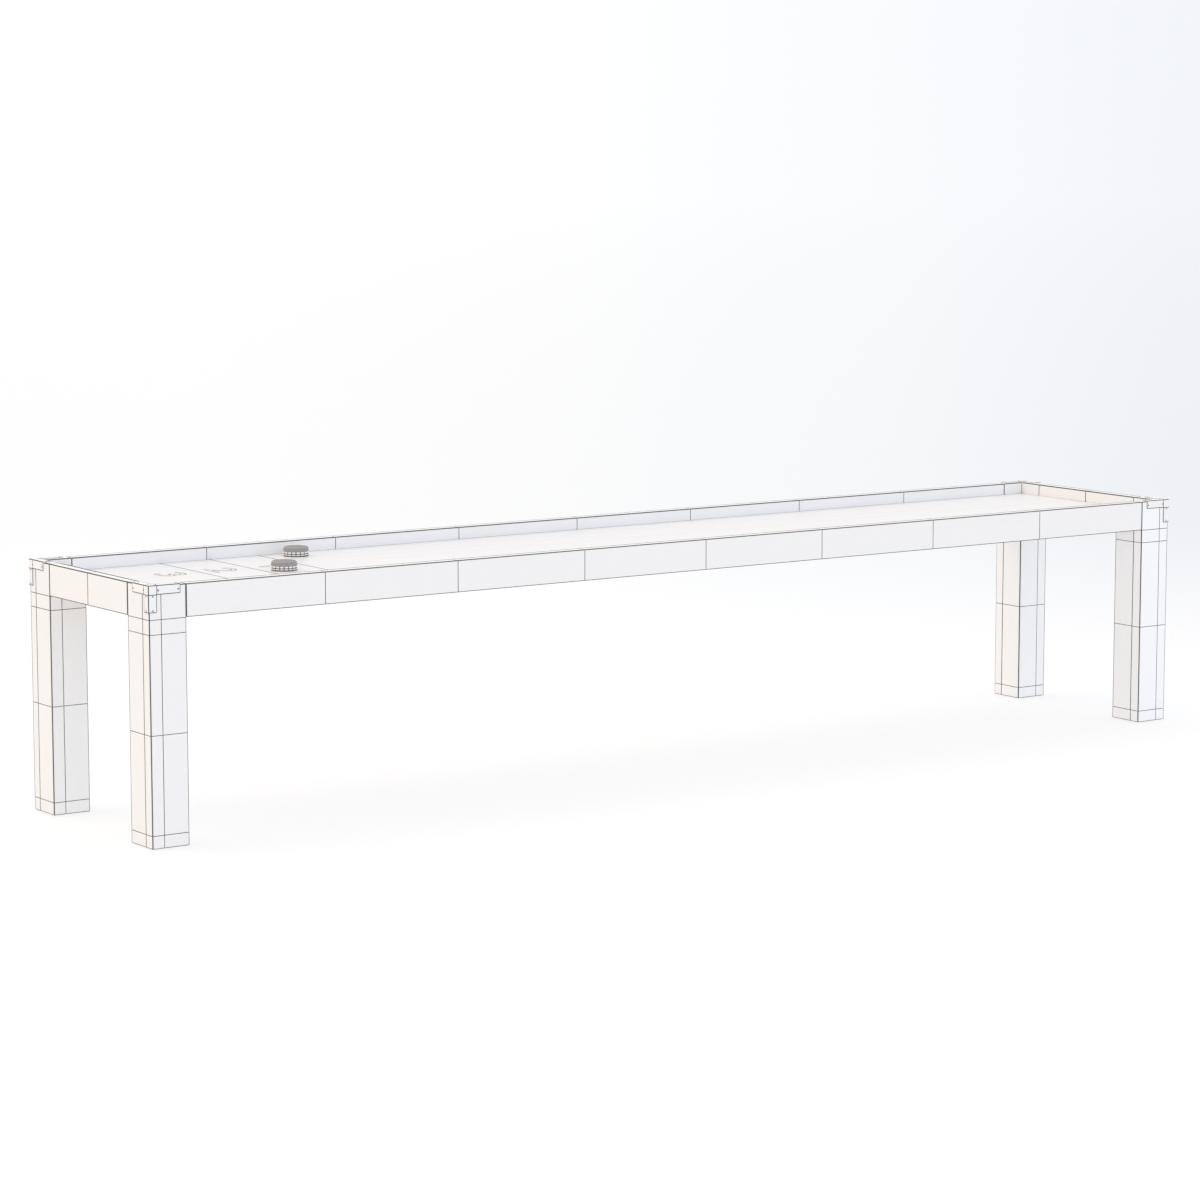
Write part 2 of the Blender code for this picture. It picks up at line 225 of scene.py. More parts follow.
def finish(name, colours, roughness, scale, bump, metallic=0.0, specular=0.5,
           stretch=(1, 1, 1)):
    """A varied finish: colour, roughness and relief follow one stretched noise."""
    material, tree, shader, coords = new_material(name)
    grain = noise(tree, coords, stretch, scale)
    broad = noise(tree, coords, (1, 1, 1), 3.0, 2.0)
    set_inputs(tree, shader, {
        "Base Color": noise_ramp(tree, grain, *colours),
        "Roughness": level(tree, broad, *roughness),
        "Normal": relief(tree, grain, *bump),
        "Metallic": metallic,
        "Specular IOR Level": specular,
    })
    return material


def grained(name, colours, roughness, stretch, scale, bump, specular):
    """Three finishes, for a grain along each axis. The stretch is (along it, across it)."""
    return [finish(f"{name}_{'xyz'[axis]}", colours, roughness, scale, bump, specular=specular,
                   stretch=[stretch[index != axis] for index in range(3)])
            for axis in range(3)]


def make_playing_surface():
    """Clear-coated maple strips, each a shade apart from its neighbours."""
    material, tree, shader, coords = new_material("playing_surface")
    parts = add_node(tree, "SeparateXYZ", {"Vector": coords})
    strip = add_node(tree, "Math", {0: parts.outputs["Y"], 1: STRIP_WIDTH}, operation="SNAP")
    shade = add_node(tree, "TexWhiteNoise", {"W": strip.outputs["Value"]},
                     noise_dimensions="1D")
    strip_colour = ramp(tree, shade.outputs["Value"],
                        ((0.0, (0.768, 0.780, 0.802)), (1.0, (0.793, 0.805, 0.828))))
    grain = noise(tree, coords, (1.2, 26, 26), 8.0, 6.0)
    grain_colour = noise_ramp(tree, grain, (0.975, 0.972, 0.966), (1.0, 1.0, 1.0))
    smear = noise(tree, coords, (0.6, 2.0, 2.0), 4.0, 3.0)
    set_inputs(tree, shader, {
        "Base Color": multiplied(tree, strip_colour, grain_colour),
        "Roughness": level(tree, smear, 0.32, 0.42),
        "Normal": relief(tree, grain, 0.04, 0.0002),
        "Specular IOR Level": 0.25,
    })
    return material


def make_paint(name, shade):
    """Satin white paint, one for a grain along each axis."""
    colours = [tuple(channel + step for channel in shade) for step in (-0.006, 0.006)]
    return grained(name, colours, (0.40, 0.50), (2.0, 30.0), 7.0, (0.06, 0.0002), 0.35)


PAINT = make_paint("white_paint", (0.879, 0.879, 0.879))
SHADE_LIFTED_PAINT = make_paint("shade_lifted_white_paint", (0.922, 0.934, 0.948))  # a lighter, cooler copy of the white paint, painted light for the pieces where less light falls
# Pieces painted lighter and cooler to make up for the shade that falls on them
SHADE_LIFTED_PIECES = ("back_rail", "far_end_rail", "front_right", "back_right")


def paint_of(name, axis):
    """A painted board's materials: the paint, lighter and cooler as painted light on pieces in
    shade, and the stain of its lines.
    """
    paint = SHADE_LIFTED_PAINT if name in SHADE_LIFTED_PIECES else PAINT
    return [paint[axis], SHADOW_LINE]


SHADOW_LINE = finish("scribed_line", ((0.115, 0.114, 0.114), (0.145, 0.144, 0.144)),
                     (0.75, 0.90), 90.0, (0.10, 0.0002), specular=0.0)
TIMBER = grained("bare_timber", ((0.60, 0.49, 0.34), (0.76, 0.66, 0.50)),
                 (0.55, 0.70), (1.0, 22.0), 9.0, (0.30, 0.0004), 0.3)
BRACKET_METAL = finish("bracket_coat", ((0.865, 0.868, 0.870), (0.895, 0.897, 0.900)),
                       (0.32, 0.42), 420.0, (0.12, 0.0002), specular=0.4)
SCREW_STEEL = finish("screw_steel", ((0.11, 0.11, 0.115), (0.17, 0.17, 0.175)),
                     (0.30, 0.45), 300.0, (0.10, 0.0001), 0.7)
ZINC = finish("zinc_plate", ((0.56, 0.57, 0.58), (0.70, 0.70, 0.69)),
              (0.28, 0.42), 160.0, (0.12, 0.0001), 0.9)
PUCK_STEEL = finish("puck_steel", ((0.89, 0.89, 0.89), (0.94, 0.94, 0.94)),
                    (0.26, 0.38), 60.0, (0.06, 0.0001), 0.2, stretch=(1, 1, 40))
PUCK_GROOVE = finish("puck_groove", ((0.27, 0.268, 0.265), (0.33, 0.328, 0.325)),
                     (0.55, 0.70), 200.0, (0.10, 0.0001), 0.2, 0.1)
PUCK_CAP = finish("puck_cap", ((0.355, 0.350, 0.344), (0.405, 0.400, 0.394)),
                  (0.38, 0.50), 240.0, (0.12, 0.0002))
PUCK_TOP = finish("puck_top", ((0.245, 0.243, 0.240), (0.285, 0.283, 0.280)),
                  (0.45, 0.60), 240.0, (0.12, 0.0002), specular=0.2)
PAD_PLASTIC = finish("pad_plastic", ((0.085, 0.085, 0.085), (0.12, 0.12, 0.12)),
                     (0.45, 0.60), 350.0, (0.20, 0.0002))
INK = finish("inlay_ink", ((0.055, 0.055, 0.057), (0.085, 0.085, 0.088)),
             (0.40, 0.50), 120.0, (0.05, 0.0001), specular=0.2)
PLAYING_SURFACE = make_playing_surface()


# ---- pieces and meshes

def linked(name, data):
    """A new object in the scene."""
    thing = bpy.data.objects.new(name, data)
    bpy.context.scene.collection.objects.link(thing)
    return thing


def add_piece(name, mesh, materials, body, replaced=(), weighted=True):
    """A mesh in the table's own coordinates, with what it rides on and stands for."""
    piece = linked(name, mesh)
    for index, material in enumerate(materials):
        if index < len(mesh.materials):
            mesh.materials[index] = material
        else:
            mesh.materials.append(material)
    if weighted:
        modifier = piece.modifiers.new("weighted_normals", "WEIGHTED_NORMAL")
        modifier.keep_sharp = True
    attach(piece, body)
    if replaced:
        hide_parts(*replaced)
    return piece


def stand_for(node, mesh, materials, weighted=True):
    """A piece in the place of one CAD node."""
    return add_piece(f"{node}_look", mesh, materials, BODY_OF[node], (node,),
                     weighted)


def smoothed(mesh, sharp_angle=SHARP_ANGLE):
    """The mesh, smooth but for its sharp edges."""
    mesh.shade_smooth()
    mesh.set_sharp_from_angle(angle=math.radians(sharp_angle))
    return mesh


def mesh_from(work, name, sharp_angle=SHARP_ANGLE):
    """Turns a bmesh into a smooth mesh."""
    mesh = bpy.data.meshes.new(name)
    work.to_mesh(mesh)
    work.free()
    return smoothed(mesh, sharp_angle)


def bridge(work, below, above):
    """The faces between two rings of points, one from each point to the next."""
    count = len(below)
    return [work.faces.new((below[index], below[index + 1 - count],
                            above[index + 1 - count], above[index]))
            for index in range(count)]


def polar(radius, angle, height):
    return Vector((radius * math.cos(angle), radius * math.sin(angle), height))


# ---- boards

# The outward directions of a board's four long sides, counter-clockwise seen along its axis
SIDE_NAMES = {
    0: ("-z", "+y", "+z", "-y"),
    1: ("-x", "+z", "+x", "-z"),
    2: ("-y", "+x", "+y", "-x"),
}


def section(extent, radii, insets, notches):
    """A board's outline across its axis: (u, v, side, is_line) for the edge from each point.

    extent is (low u, low v, high u, high v). radii are (along u, along v) at each corner,
    insets draw in the four sides, and notches are V-grooves along the board, as a list of
    (place, half width) for each side.
    """
    low_u, low_v, high_u, high_v = extent
    edges = [low_v + insets[0], high_u - insets[1], high_v - insets[2], low_u + insets[3]]
    corner_points = [(edges[3], edges[0]), (edges[1], edges[0]),
                     (edges[1], edges[2]), (edges[3], edges[2])]
    middle = ((edges[1] + edges[3]) / 2, (edges[0] + edges[2]) / 2)
    outline = []
    for side in range(4):
        corner = corner_points[side]
        deepest = max(insets[side], insets[side - 1])
        radius = [max(full - deepest, 0.3 * full) for full in radii[side]]
        centre = [c + math.copysign(r, m - c) for c, r, m in zip(corner, radius, middle)]
        for step in range(ARC_STEPS + 1):
            angle = math.radians(180 + 90 * (side + step / ARC_STEPS))
            outline.append((centre[0] + radius[0] * math.cos(angle),
                            centre[1] + radius[1] * math.sin(angle),
                            side, step < ARC_STEPS))
        runs_back = side > 1
        for place, half in sorted(notches.get(side, ()), reverse=runs_back):
            for offset, depth in ((-half, 0), (0, half), (half, 0)):
                position = place + (-offset if runs_back else offset)
                sunk = edges[side] + (depth if side in (0, 3) else -depth)
                point = (position, sunk) if side in (0, 2) else (sunk, position)
                outline.append((*point, side, offset < half))
    return outline


def quarter_turn():
    """Sine and cosine at each step of a rounded edge."""
    angles = [math.radians(90 * step / ARC_STEPS) for step in range(ARC_STEPS + 1)]
    return [(math.sin(angle), math.cos(angle)) for angle in angles]


def both_ways(easing, u_axis):
    """An easing as (along u, along v), from one radius or from a (level, upright) pair."""
    if isinstance(easing, tuple):
        return easing[::-1] if u_axis == 2 else easing
    return easing, easing


def end_stations(tip, inwards, radii, reach):
    """Stations that round off a board's end, from its tip inwards."""
    return [(tip + inwards * reach * (1 - cosine), [radius * (1 - sine) for radius in radii])
            for sine, cosine in quarter_turn()]


def board_mesh(name, low, high, axis, edge_rounds=None, end_rounds=None, end_reach=None,
               grooves=(), notches=None, usual=HIDDEN_EASE):
    """A board with eased edges, rounded ends and V-grooves, whose lines use material slot 1.

    edge_rounds: {("-y", "+z"): easing} for the long edges. end_rounds: {"low" or "high":
    {side: depth}}, and end_reach, how far that easing runs along the board. grooves across the
    board: [(place, half width, sides, or None for all four)]. notches along the board:
    {side: [(place, half width)]}.
    """
    sides = SIDE_NAMES[axis]
    u_axis, v_axis = (axis + 1) % 3, (axis + 2) % 3
    extent = (low[u_axis], low[v_axis], high[u_axis], high[v_axis])
    rounds = {frozenset(pair): easing for pair, easing in (edge_rounds or {}).items()}
    radii = [both_ways(rounds.get(frozenset((sides[index - 1], sides[index])), usual), u_axis)
             for index in range(4)]
    ends = {}
    for end, tip, inwards in (("low", low[axis], 1), ("high", high[axis], -1)):
        given = (end_rounds or {}).get(end, {})
        depths = [given.get(side, usual) for side in sides]
        reach = (end_reach or {}).get(end, max(depths))
        ends[end] = end_stations(tip, inwards, depths, reach)
    stations = ends["low"]
    for place, half, cut in sorted(grooves):
        stations.append((place - half, [0] * 4))
        stations.append((place, [half if side in (cut or sides) else 0 for side in sides]))
        stations.append((place + half, [0] * 4))
    stations += ends["high"][::-1]
    notch_places = {sides.index(side): places for side, places in (notches or {}).items()}

    work = bmesh.new()
    rings = []
    for place, insets in stations:
        outline = section(extent, radii, insets, notch_places)
        ring = []
        for u, v, _, _ in outline:
            point = [0.0, 0.0, 0.0]
            point[axis], point[u_axis], point[v_axis] = place, u, v
            ring.append(work.verts.new(point))
        rings.append(ring)
    for index in range(len(rings) - 1):
        before, after = stations[index][1], stations[index + 1][1]
        for face, (_, _, side, is_line) in zip(bridge(work, *rings[index:index + 2]), outline):
            face.material_index = int(is_line or before[side] != after[side])
    work.faces.new(rings[0][::-1])
    work.faces.new(rings[-1])
    return mesh_from(work, name)


def outward(sign, letter):
    return ("+" if sign > 0 else "-") + letter


def sides_at(corner):
    """The sides of a post that look outwards and inwards, along X and along Y."""
    return (outward(corner[0], "x"), outward(-corner[0], "x"),
            outward(corner[1], "y"), outward(-corner[1], "y"))


def make_rails():
    """The four rails, with a scribed line at each station and a thin one above the playfield."""
    for node, axis, sign in (("front_rail", 0, -1), ("back_rail", 0, 1),
                             ("scoring_end_rail", 1, -1), ("far_end_rail", 1, 1)):
        low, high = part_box(node)
        is_long = axis == 0
        letter = "y" if is_long else "x"
        outer, inner = outward(sign, letter), outward(-sign, letter)
        tops = (LONG_OUTER_TOP, LONG_INNER_TOP) if is_long else (END_OUTER_TOP, END_INNER_TOP)
        under = UNDER_ROUND if is_long else END_UNDER_ROUND
        rounds = {
            (outer, "+z"): tops[0] if sign < 0 else FAR_TOP,
            (inner, "+z"): tops[1] if sign > 0 else FAR_TOP,
            (outer, "-z"): under,
            (inner, "-z"): under,
        }
        easing = RAIL_SEAM if is_long else END_RAIL_SEAM
        seam = {side: easing for side in SIDE_NAMES[axis]}
        parts, half = (RAIL_PARTS, RAIL_LINE) if is_long else (2, END_RAIL_LINE)
        length = high[axis] - low[axis]
        grooves = [(low[axis] + length * index / parts, half, None)
                   for index in range(1, parts)]
        notches = {inner: [(FIELD_TOP + TRAY_LINE, TRAY_LINE)]}
        mesh = board_mesh(node, low, high, axis, rounds, {"low": seam, "high": seam},
                          grooves=grooves, notches=notches)
        stand_for(node, mesh, paint_of(node, axis))


def make_post(where, corner):
    """A post's four boards, with the scribed lines running round the whole post."""
    out_x, in_x, out_y, in_y = sides_at(corner)
    outer, inner = LONG_OUTER_TOP[0], LONG_INNER_TOP[0]
    at_corner, at_side, at_end, at_core = POST_EASING[where]
    boards = {
        "post_stile": (
            {(out_x, out_y): at_corner, (out_y, in_x): SIDE_JOINT,
             (out_x, in_y): END_JOINT},
            {out_x: outer, out_y: outer}, None),
        "post_side_stave": (
            {(out_y, in_x): at_side, (out_y, out_x): SIDE_JOINT, (in_y, in_x): END_JOINT},
            {out_y: outer, in_x: RAIL_SEAM, in_y: inner}, in_y),
        "post_end_stave": (
            {(out_x, in_y): at_end, (out_x, out_y): END_JOINT, (in_x, in_y): SIDE_JOINT},
            {out_x: outer, in_y: END_RAIL_SEAM, in_x: inner}, in_x),
        "post_core": (
            {(in_x, in_y): at_core, (in_x, out_y): END_JOINT, (in_y, out_x): SIDE_JOINT},
            {}, None),
    }
    for board, (rounds, top, tray_side) in boards.items():
        node = f"{where}_{board}"
        low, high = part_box(node)
        grooves = [(place, RING_LINE, None) for place in POST_LINES]
        if tray_side:
            grooves.append((FIELD_TOP + TRAY_LINE, TRAY_LINE, (tray_side,)))
        reach = {"high": LONG_OUTER_TOP[1]} if top else None
        mesh = board_mesh(node, low, high, 2, rounds, {"high": top}, reach, grooves)
        stand_for(node, mesh, paint_of(where, 2))


def evaluated_mesh(thing, name):
    """The mesh of an object with its modifiers applied; the object itself is removed."""
    bpy.context.view_layer.update()
    graph = bpy.context.evaluated_depsgraph_get()
    mesh = bpy.data.meshes.new_from_object(thing.evaluated_get(graph))
    mesh.name = name
    bpy.data.objects.remove(thing, do_unlink=True)
    return mesh


def cut_mesh(mesh, tool_mesh):
    """The mesh with another one cut out of it."""
    body = linked("cut_body", mesh)
    tool = linked("cut_tool", tool_mesh)
    modifier = body.modifiers.new("cut", "BOOLEAN")
    modifier.operation = "DIFFERENCE"
    modifier.solver = "EXACT"
    modifier.object = tool
    cut = evaluated_mesh(body, mesh.name)
    bpy.data.objects.remove(tool, do_unlink=True)
    return cut


def plate_from(work, name, thick, offset):
    """An object for a bmesh's surface, thickened into a plate."""
    surface = bpy.data.meshes.new(f"{name}_surface")
    work.to_mesh(surface)
    work.free()
    plate = linked(f"{name}_plate", surface)
    solid = plate.modifiers.new("plate", "SOLIDIFY")
    solid.thickness = thick
    solid.offset = offset
    solid.use_even_offset = True
    return plate, solid


# ---- turned pieces

THREAD_RADIUS = 0.006
THREAD_PITCH = 0.00175
THREAD_DEPTH = 0.09  # as a share of the radius
THREAD_TIP = 0.0008  # from a thread's end to the tip
HEXAGON_EDGE = 0.86  # radius of a hexagon's eased end, as a share of its corners'
CUT_PAST = 0.01  # how far a cutting tool runs past the piece


def plain(angle, height):
    """The shape of a round row."""
    return 1.0


def hexagon(angle, height):
    """A hexagon's radius as a share of the radius to its corners."""
    sixth = math.radians(60)
    return math.cos(sixth / 2) / math.cos(angle % sixth - sixth / 2)


def ribbed(count, share):
    """Rounded ribs round a turned piece."""
    def shape(angle, height):
        return 1.0 - share * (0.5 - 0.5 * math.cos(count * angle))
    return shape


def threaded(pitch, share):
    """A right-handed V thread: its crest climbs one pitch in each turn."""
    def shape(angle, height):
        phase = (height / pitch - angle / math.tau) % 1.0
        return 1.0 - share * abs(2 * phase - 1)
    return shape


def revolve(work, rows, steps, place=Matrix.Identity(4)):
    """Turns rows of (radius, height, shape, slot) round Z, from the bottom outwards to the top.

    A row may leave out its slot, which is then 0, and its shape, which is then plain.
    """
    rows = [tuple(row) + (plain, 0)[len(row) - 2:] for row in rows]
    rings = []
    for radius, height, shape, _ in rows:
        if radius == 0:
            rings.append([work.verts.new(place @ Vector((0, 0, height)))])
            continue
        angles = [math.tau * step / steps for step in range(steps)]
        rings.append([work.verts.new(place @ polar(radius * shape(angle, height), angle, height))
                      for angle in angles])
    for low, high, row in zip(rings, rings[1:], rows):
        if len(low) == len(high):
            faces = bridge(work, low, high) if len(low) > 1 else []
        elif len(low) == 1:
            faces = [work.faces.new((low[0], high[step + 1 - steps], high[step]))
                     for step in range(steps)]
        else:
            faces = [work.faces.new((low[step], low[step + 1 - steps], high[0]))
                     for step in range(steps)]
        for face in faces:
            face.material_index = row[3]


def thread_rows(low, high):
    """Rows close enough together to show an M12 thread, drawn in at both ends."""
    count = math.ceil((high - low) / (THREAD_PITCH / 6))
    shape = threaded(THREAD_PITCH, THREAD_DEPTH)
    root = THREAD_RADIUS * (1 - THREAD_DEPTH)
    between = [(THREAD_RADIUS, low + (high - low) * index / count, shape)
               for index in range(1, count)]
    return [(root, low), *between, (root, high)]


def hexagon_rows(radius, low, high, ease):
    """A hexagonal collar with eased ends."""
    return [(radius * HEXAGON_EDGE, low), (radius, low + ease, hexagon),
            (radius, high - ease, hexagon), (radius * HEXAGON_EDGE, high)]


# ---- feet

PAD_RIBS = 36
RECESS_CLEAR = 0.003  # round the pad
STEM_HEXAGON_TALL = 0.0035
FOOT_EASE = 0.0026  # the foot blocks' bottom edges


def make_foot(where, corner):
    """Foot block, pad, threaded stem and insert of one levelling foot."""
    out_x, in_x, out_y, in_y = sides_at(corner)
    node = f"{where}_foot_block"
    low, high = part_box(node)
    centre = (low + high) / 2
    edges = ((out_x, out_y), (out_y, in_x), (out_x, in_y), (in_x, in_y))
    rounds = dict(zip(edges, POST_EASING[where]))
    across_x = (corner[0] * (HALF_LENGTH - WALL), SIDE_JOINT)
    across_y = (corner[1] * (HALF_WIDTH - WALL), END_JOINT)
    notches = {out_y: [across_x], in_y: [across_x], out_x: [across_y], in_x: [across_y]}
    under = {side: FOOT_EASE for side in SIDE_NAMES[2]}
    block = board_mesh(node, low, high, 2, rounds, {"low": under}, notches=notches)
    insert_low, insert_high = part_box(f"{where}_leveler_insert")
    pad_low, pad_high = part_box(f"{where}_leveler_pad")
    insert_radius = (insert_high.x - insert_low.x) / 2
    pad_radius = (pad_high.x - pad_low.x) / 2
    recess_radius, recess_top = pad_radius + RECESS_CLEAR, insert_low.z - GAP
    bore_radius = insert_radius + GAP
    here = Matrix.Translation((centre.x, centre.y, 0))
    bore = bmesh.new()
    revolve(bore, [
        (0, low.z - CUT_PAST), (recess_radius, low.z - CUT_PAST), (recess_radius, recess_top),
        (bore_radius, recess_top), (bore_radius, high.z + CUT_PAST), (0, high.z + CUT_PAST),
    ], 48, here)
    block = smoothed(cut_mesh(block, mesh_from(bore, "bore")))
    stand_for(node, block, paint_of(where, 2))

    pad = bmesh.new()
    thick = pad_high.z
    grip = ribbed(PAD_RIBS, 0.025)
    revolve(pad, [
        (0, pad_low.z),
        (pad_radius - 0.0016, pad_low.z),
        (pad_radius - 0.0005, 0.0004),
        (pad_radius, 0.0014, grip),
        (pad_radius, thick - 0.0042, grip),
        (pad_radius - 0.0006, thick - 0.0034),
        (pad_radius - 0.0040, thick - 0.0020),
        (pad_radius * 0.60, thick - 0.0010),
        (pad_radius * 0.42, thick - 0.0010),
        (pad_radius * 0.40, thick),
        (0, thick),
    ], 4 * PAD_RIBS, here)
    stand_for(f"{where}_leveler_pad", mesh_from(pad, "pad"), [PAD_PLASTIC])

    stem_low, stem_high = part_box(f"{where}_leveler_stem")
    hex_radius = (stem_high.y - stem_low.y) / 2
    hex_top = stem_low.z + STEM_HEXAGON_TALL
    stem = bmesh.new()
    revolve(stem, [
        (0, stem_low.z),
        *hexagon_rows(hex_radius, stem_low.z, hex_top, 0.0006),
        *thread_rows(hex_top + 0.0002, stem_high.z - THREAD_TIP),
        (THREAD_RADIUS * 0.78, stem_high.z),
        (0, stem_high.z),
    ], 24, here)
    stand_for(f"{where}_leveler_stem", mesh_from(stem, "stem", 50.0), [ZINC], weighted=False)

    insert = bmesh.new()
    bore_radius = THREAD_RADIUS + GAP
    knurl = ribbed(24, 0.05)
    revolve(insert, [
        (bore_radius, insert_low.z + 0.0006),
        (bore_radius + 0.0006, insert_low.z),
        (insert_radius - 0.0005, insert_low.z),
        (insert_radius, insert_low.z + 0.0005),
        (insert_radius, insert_low.z + 0.0016),
        (insert_radius * 0.96, insert_low.z + 0.0018, knurl),
        (insert_radius * 0.96, insert_high.z - 0.0020, knurl),
        (insert_radius * 0.80, insert_high.z),
        (bore_radius + 0.0006, insert_high.z),
        (bore_radius, insert_high.z - 0.0006),
        (bore_radius, insert_low.z + 0.0006),
    ], 96, here)
    bmesh.ops.remove_doubles(insert, verts=insert.verts, dist=0.00001)
    stand_for(f"{where}_leveler_insert", mesh_from(insert, "insert"), [ZINC])


# ---- screws

def facing(point, direction):
    """A placement whose Z axis points in a direction."""
    turn = Vector(direction).to_track_quat("Z", "Y").to_matrix().to_4x4()
    return Matrix.Translation(point) @ turn


def add_screw(work, point, direction, radius=SCREW_HEAD_RADIUS):
    """A low domed screw head with a hexagonal socket."""
    dome = ((1, 0.06), (0.90, 0.18), (0.66, 0.27), (0.50, 0.30), (0.46, 0.27, hexagon),
            (0.44, -0.10, hexagon), (0, -0.14))
    rows = [(0, -SCREW_SUNK), (radius, -SCREW_SUNK)]
    rows += [(radius * row[0], radius * row[1], *row[2:]) for row in dome]
    revolve(work, rows, 24, facing(point, direction))


# ---- brackets

BRACKET_TIP_ROUND = 0.0035
BRACKET_EDGE = 0.0026  # the stained edge round each upright face
BRACKET_TOP_EDGE = 0.0033  # and round the top
# The stained chamfers of the bends along the top, of the upright bend and of the outline
BRACKET_CHAMFERS = {"top": 0.0036, "upright": 0.0027, "outline": 0.0008}
FOLD_HALF = 0.0013  # half the width of the V-grooves beside the bends
FOLD_PAST = 0.002  # how far their cutters run past the plate
STEEP_ANGLE = 50.0  # degrees; a steeper edge is chamfered


def bracket_sizes():
    """Plate thickness, arm lengths along X, Y and down, and arm width, from the CAD node."""
    low, high = BRACKET
    thick = high.z - TABLE_TOP - GAP
    reach_x = high.x + HALF_LENGTH
    reach_y = high.y + HALF_WIDTH
    drop = TABLE_TOP - low.z
    corners = [v.co for v in frame["nodes"]["front_left_corner_bracket"].data.vertices]
    front = [co.x for co in corners if abs(co.z - low.z) < 1e-5]
    width = max(front) + HALF_LENGTH
    return thick, reach_x, reach_y, drop, width


def arm_face(work, across, down, width, place):
    """One face of the bracket, an L from the origin to across along X and down along Y.

    The tips of its two arms are rounded on the side of the L's inner corner.
    """
    outline = []
    points = [Vector(point) for point in ((0, 0), (across, 0), (across, width),
                                          (width, width), (width, down), (0, down))]
    for index, point in enumerate(points):
        if index not in (2, 4):
            outline.append(point)
            continue
        to_next = (points[(index + 1) % 6] - point).normalized() * BRACKET_TIP_ROUND
        start = point + (points[index - 1] - point).normalized() * BRACKET_TIP_ROUND
        centre = start + to_next
        for sine, cosine in quarter_turn():
            outline.append(centre - to_next * cosine + (point + to_next - centre) * sine)
    verts = [work.verts.new(place @ Vector((*point, 0))) for point in outline]
    return work.faces.new(verts)


def fold_cutter(start, end):
    """A thin square bar on edge, which leaves a V-groove."""
    start, end = Vector(start), Vector(end)
    work = bmesh.new()
    bmesh.ops.create_cone(work, cap_ends=True, segments=4, radius1=FOLD_HALF,
                          radius2=FOLD_HALF, depth=(end - start).length)
    matrix = facing((start + end) / 2, end - start)
    bmesh.ops.transform(work, matrix=matrix, verts=work.verts)
    for face in work.faces:
        face.material_index = 1
    return mesh_from(work, "fold")


def edit(mesh, change, *details):
    """Changes a mesh in place with a function that works on its bmesh."""
    work = bmesh.new()
    work.from_mesh(mesh)
    change(work, *details)
    work.to_mesh(mesh)
    work.free()


def chamfer_outside(work, thick):
    """Stains and chamfers the edges of the plate's three outer faces, in material slot 1."""
    nearly = thick * 0.99

    def is_outer(face):
        middle = face.calc_center_median()
        return ((face.normal.x < -0.9 and middle.x < -nearly)
                or (face.normal.y < -0.9 and middle.y < -nearly)
                or (face.normal.z > 0.9 and middle.z > nearly))

    def kind_of(edge):
        outer = [face for face in edge.link_faces if is_outer(face)]
        if not outer or edge.calc_face_angle(0) < math.radians(STEEP_ANGLE):
            return None
        if len(outer) == 1:
            return "outline"
        return "top" if any(face.normal.z > 0.9 for face in outer) else "upright"

    outer_faces = [face for face in work.faces if is_outer(face)]
    for is_top, width in ((True, BRACKET_TOP_EDGE), (False, BRACKET_EDGE)):
        chosen = [face for face in outer_faces if (face.normal.z > 0.9) == is_top]
        made = bmesh.ops.inset_individual(work, faces=chosen, thickness=width,
                                          use_even_offset=True)
        for face in made["faces"]:
            face.material_index = 1
    for kind, offset in BRACKET_CHAMFERS.items():
        work.normal_update()
        edges = [edge for edge in work.edges if kind_of(edge) == kind]
        bmesh.ops.bevel(work, geom=edges, offset=offset, segments=1, profile=0.5,
                        affect="EDGES", material=1, clamp_overlap=True)


def clean_up(work):
    """Closes hairline gaps, drops slivers and splits faces that aren't flat."""
    bmesh.ops.remove_doubles(work, verts=work.verts, dist=0.00003)
    bmesh.ops.dissolve_degenerate(work, edges=work.edges, dist=0.00001)
    bmesh.ops.connect_verts_nonplanar(work, angle_limit=math.radians(0.5), faces=work.faces)


def bracket_mesh():
    """The bracket for the corner at the origin, running to +X, +Y and -Z, on faces at 0."""
    thick, reach_x, reach_y, drop, width = bracket_sizes()
    front = Matrix(((1, 0, 0, 0), (0, 0, 1, 0), (0, -1, 0, 0), (0, 0, 0, 1)))
    end = Matrix(((0, 0, 1, 0), (1, 0, 0, 0), (0, -1, 0, 0), (0, 0, 0, 1)))
    work = bmesh.new()
    arm_face(work, reach_x, reach_y, width, Matrix.Identity(4))
    arm_face(work, reach_x, drop, width, front)
    arm_face(work, reach_y, drop, width, end)
    bmesh.ops.remove_doubles(work, verts=work.verts, dist=0.00001)
    bmesh.ops.recalc_face_normals(work, faces=work.faces)
    if next(face for face in work.faces if abs(face.normal.z) > 0.9).normal.z < 0:
        bmesh.ops.reverse_faces(work, faces=work.faces)
    plate, solid = plate_from(work, "bracket", thick, 1)
    solid.use_quality_normals = True
    plate.data.materials.append(BRACKET_METAL)
    plate.data.materials.append(SHADOW_LINE)
    mesh = evaluated_mesh(plate, "bracket")
    edit(mesh, chamfer_outside, thick)
    edit(mesh, clean_up)
    outer, over = -thick, thick + FOLD_PAST
    for start, end in (
            ((width, outer, over), (width, outer, -width)),
            ((-over, outer, -width), (width, outer, -width)),
            ((outer, width, over), (outer, width, -width)),
            ((outer, -over, -width), (outer, width, -width)),
            ((width, -over, thick), (width, width, thick)),
            ((-over, width, thick), (width, width, thick))):
        mesh = cut_mesh(mesh, fold_cutter(start, end))
    edit(mesh, clean_up)
    return smoothed(mesh), thick


def mirrored(mesh, corner):
    """The mesh turned over to another corner of the table, with its faces still outwards."""
    work = bmesh.new()
    work.from_mesh(mesh)
    bmesh.ops.scale(work, vec=(-corner[0], -corner[1], 1), verts=work.verts)
    if corner[0] * corner[1] < 0:
        bmesh.ops.reverse_faces(work, faces=work.faces)
    place = (corner[0] * (HALF_LENGTH + GAP), corner[1] * (HALF_WIDTH + GAP), TABLE_TOP + GAP)
    bmesh.ops.translate(work, vec=place, verts=work.verts)
    return mesh_from(work, mesh.name)


